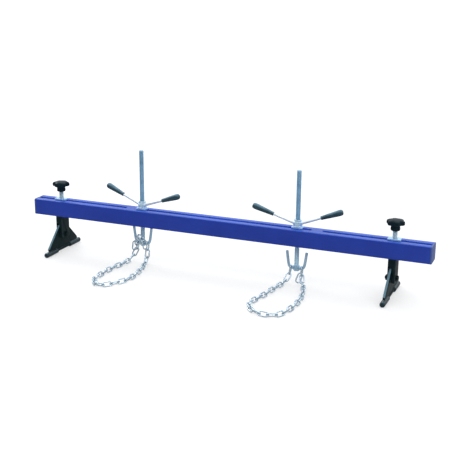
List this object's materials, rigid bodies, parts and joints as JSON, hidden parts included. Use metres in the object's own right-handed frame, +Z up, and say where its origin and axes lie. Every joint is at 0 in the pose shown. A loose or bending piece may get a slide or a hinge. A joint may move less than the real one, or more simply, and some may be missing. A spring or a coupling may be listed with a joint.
{
  "type": "engine support bar",
  "caption": "Slotted steel beam on two clamped pivoting feet, carrying two sliding screw lifts with turning arms, double hooks and looped chains.",
  "frame": {"origin": "on the floor under the middle of the beam", "axes": "+X along the beam, -Y to the side the chains lie on, +Z up"},
  "size_m": [1.52, 0.4717, 0.421],
  "materials": {
    "paint_blue": "semi-gloss powder coat, blue",
    "paint_black": "semi-gloss black enamel",
    "zinc": "bright zinc plate",
    "zinc_chain": "bright zinc plate on welded links",
    "grip": "matt black dipped grip",
    "sleeve": "matt black rubber",
    "knob": "moulded black phenolic"
  },
  "bodies": {
    "beam": {"beam_front_channel": "paint_blue", "beam_rear_channel": "paint_blue", "beam_end_plate_left": "paint_blue", "slot_bridge_top_left": "paint_blue", "slot_bridge_bottom_left": "paint_blue", "beam_end_plate_right": "paint_blue", "slot_bridge_top_right": "paint_blue", "slot_bridge_bottom_right": "paint_blue"},
    "foot_carriage_left": {"foot_neck_left": "paint_black", "foot_pivot_bolt_left": "paint_black", "foot_pivot_nut_left": "paint_black", "foot_pivot_spacer_left": "paint_black", "foot_clamp_plate_left": "zinc"},
    "foot_left": {"foot_plate_left": "paint_black", "foot_sleeve_front_left": "sleeve", "foot_sleeve_rear_left": "sleeve"},
    "clamp_screw_left": {"foot_clamp_screw_left": "zinc"},
    "star_knob_left": {"foot_star_knob_left": "knob"},
    "lift_carriage_left": {"lift_guide_plate_left": "zinc", "lift_thrust_washer_left": "zinc"},
    "lift_nut_left": {"lift_nut_left": "zinc", "lift_arm_inner_left": "zinc", "lift_arm_outer_left": "zinc", "lift_grip_inner_left": "grip", "lift_grip_outer_left": "grip"},
    "lift_rod_left": {"lift_rod_left": "zinc", "lift_double_hook_left": "zinc", "chain_left": "zinc_chain"},
    "foot_carriage_right": {"foot_neck_right": "paint_black", "foot_pivot_bolt_right": "paint_black", "foot_pivot_nut_right": "paint_black", "foot_pivot_spacer_right": "paint_black", "foot_clamp_plate_right": "zinc"},
    "foot_right": {"foot_plate_right": "paint_black", "foot_sleeve_front_right": "sleeve", "foot_sleeve_rear_right": "sleeve"},
    "clamp_screw_right": {"foot_clamp_screw_right": "zinc"},
    "star_knob_right": {"foot_star_knob_right": "knob"},
    "lift_carriage_right": {"lift_guide_plate_right": "zinc", "lift_thrust_washer_right": "zinc"},
    "lift_nut_right": {"lift_nut_right": "zinc", "lift_arm_inner_right": "zinc", "lift_arm_outer_right": "zinc", "lift_grip_inner_right": "grip", "lift_grip_outer_right": "grip"},
    "lift_rod_right": {"lift_rod_right": "zinc", "lift_double_hook_right": "zinc", "chain_right": "zinc_chain"}
  },
  "joints": [
    {"name": "foot_slide_left", "type": "slide", "parent": "beam", "child": "foot_carriage_left", "axis": [1, 0, 0], "range_m": [-0.072, 0.132]},
    {"name": "foot_pivot_left", "type": "hinge", "parent": "foot_carriage_left", "child": "foot_left", "pos_m": [-0.659, 0, 0.067], "axis": [1, 0, 0], "range_deg": [-25, 25]},
    {"name": "clamp_screw_travel_left", "type": "slide", "parent": "foot_carriage_left", "child": "clamp_screw_left", "axis": [0, 0, 1], "range_m": [-0.02, 0.006]},
    {"name": "star_knob_turn_left", "type": "hinge", "parent": "clamp_screw_left", "child": "star_knob_left", "pos_m": [-0.659, 0, 0.25], "axis": [0, 0, 1], "range_deg": [-3600.5, 1080.5]},
    {"name": "lift_slide_left", "type": "slide", "parent": "beam", "child": "lift_carriage_left", "axis": [1, 0, 0], "range_m": [-0.009, 0.14]},
    {"name": "lift_nut_turn_left", "type": "hinge", "parent": "lift_carriage_left", "child": "lift_nut_left", "pos_m": [-0.314, 0, 0.215], "axis": [0, 0, 1], "range_deg": [-1440.5, 32400.5]},
    {"name": "lift_rod_travel_left", "type": "slide", "parent": "lift_carriage_left", "child": "lift_rod_left", "axis": [0, 0, 1], "range_m": [-0.18, 0.008]},
    {"name": "foot_slide_right", "type": "slide", "parent": "beam", "child": "foot_carriage_right", "axis": [1, 0, 0], "range_m": [-0.107, 0.103]},
    {"name": "foot_pivot_right", "type": "hinge", "parent": "foot_carriage_right", "child": "foot_right", "pos_m": [0.628, 0, 0.067], "axis": [1, 0, 0], "range_deg": [-25, 25]},
    {"name": "clamp_screw_travel_right", "type": "slide", "parent": "foot_carriage_right", "child": "clamp_screw_right", "axis": [0, 0, 1], "range_m": [-0.02, 0.006]},
    {"name": "star_knob_turn_right", "type": "hinge", "parent": "clamp_screw_right", "child": "star_knob_right", "pos_m": [0.628, 0, 0.25], "axis": [0, 0, 1], "range_deg": [-3600.5, 1080.5]},
    {"name": "lift_slide_right", "type": "slide", "parent": "beam", "child": "lift_carriage_right", "axis": [1, 0, 0], "range_m": [-0.122, 0.034]},
    {"name": "lift_nut_turn_right", "type": "hinge", "parent": "lift_carriage_right", "child": "lift_nut_right", "pos_m": [0.288, 0, 0.215], "axis": [0, 0, 1], "range_deg": [-4320.5, 29520.5]},
    {"name": "lift_rod_travel_right", "type": "slide", "parent": "lift_carriage_right", "child": "lift_rod_right", "axis": [0, 0, 1], "range_m": [-0.164, 0.024]}
  ],
  "couplings": [
    {"joint": "star_knob_turn_left", "follows": "clamp_screw_travel_left", "rad_per_m": 3141.6},
    {"joint": "lift_nut_turn_left", "follows": "lift_rod_travel_left", "rad_per_m": -3141.6},
    {"joint": "star_knob_turn_right", "follows": "clamp_screw_travel_right", "rad_per_m": 3141.6},
    {"joint": "lift_nut_turn_right", "follows": "lift_rod_travel_right", "rad_per_m": -3141.6}
  ]
}
